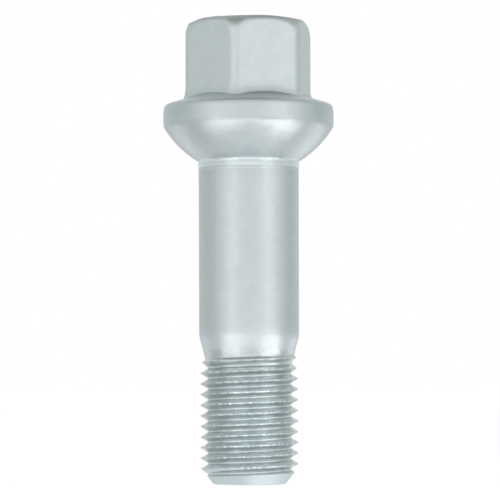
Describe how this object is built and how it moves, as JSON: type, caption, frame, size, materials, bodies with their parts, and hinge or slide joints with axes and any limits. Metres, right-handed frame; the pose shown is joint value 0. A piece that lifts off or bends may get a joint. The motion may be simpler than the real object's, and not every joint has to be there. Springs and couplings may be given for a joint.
{
  "type": "wheel bolt",
  "caption": "Hexagon-head wheel bolt with a collar, a spherical seat, a plain tapered shank and a threaded end; clamps a road wheel to its hub.",
  "frame": {"origin": "centre of the flat face at the threaded end, which the bolt stands on", "axes": "+Z along the bolt's axis from the threaded end to the head; two flats of the hexagon face +Y and -Y"},
  "size_m": [0.0242, 0.0242, 0.0656],
  "materials": {
    "coated_steel": "silver-grey zinc flake coating, matt on the forged head and brighter on the rolled thread"
  },
  "bodies": {
    "root": {"wheel_bolt": "coated_steel"}
  },
  "joints": []
}
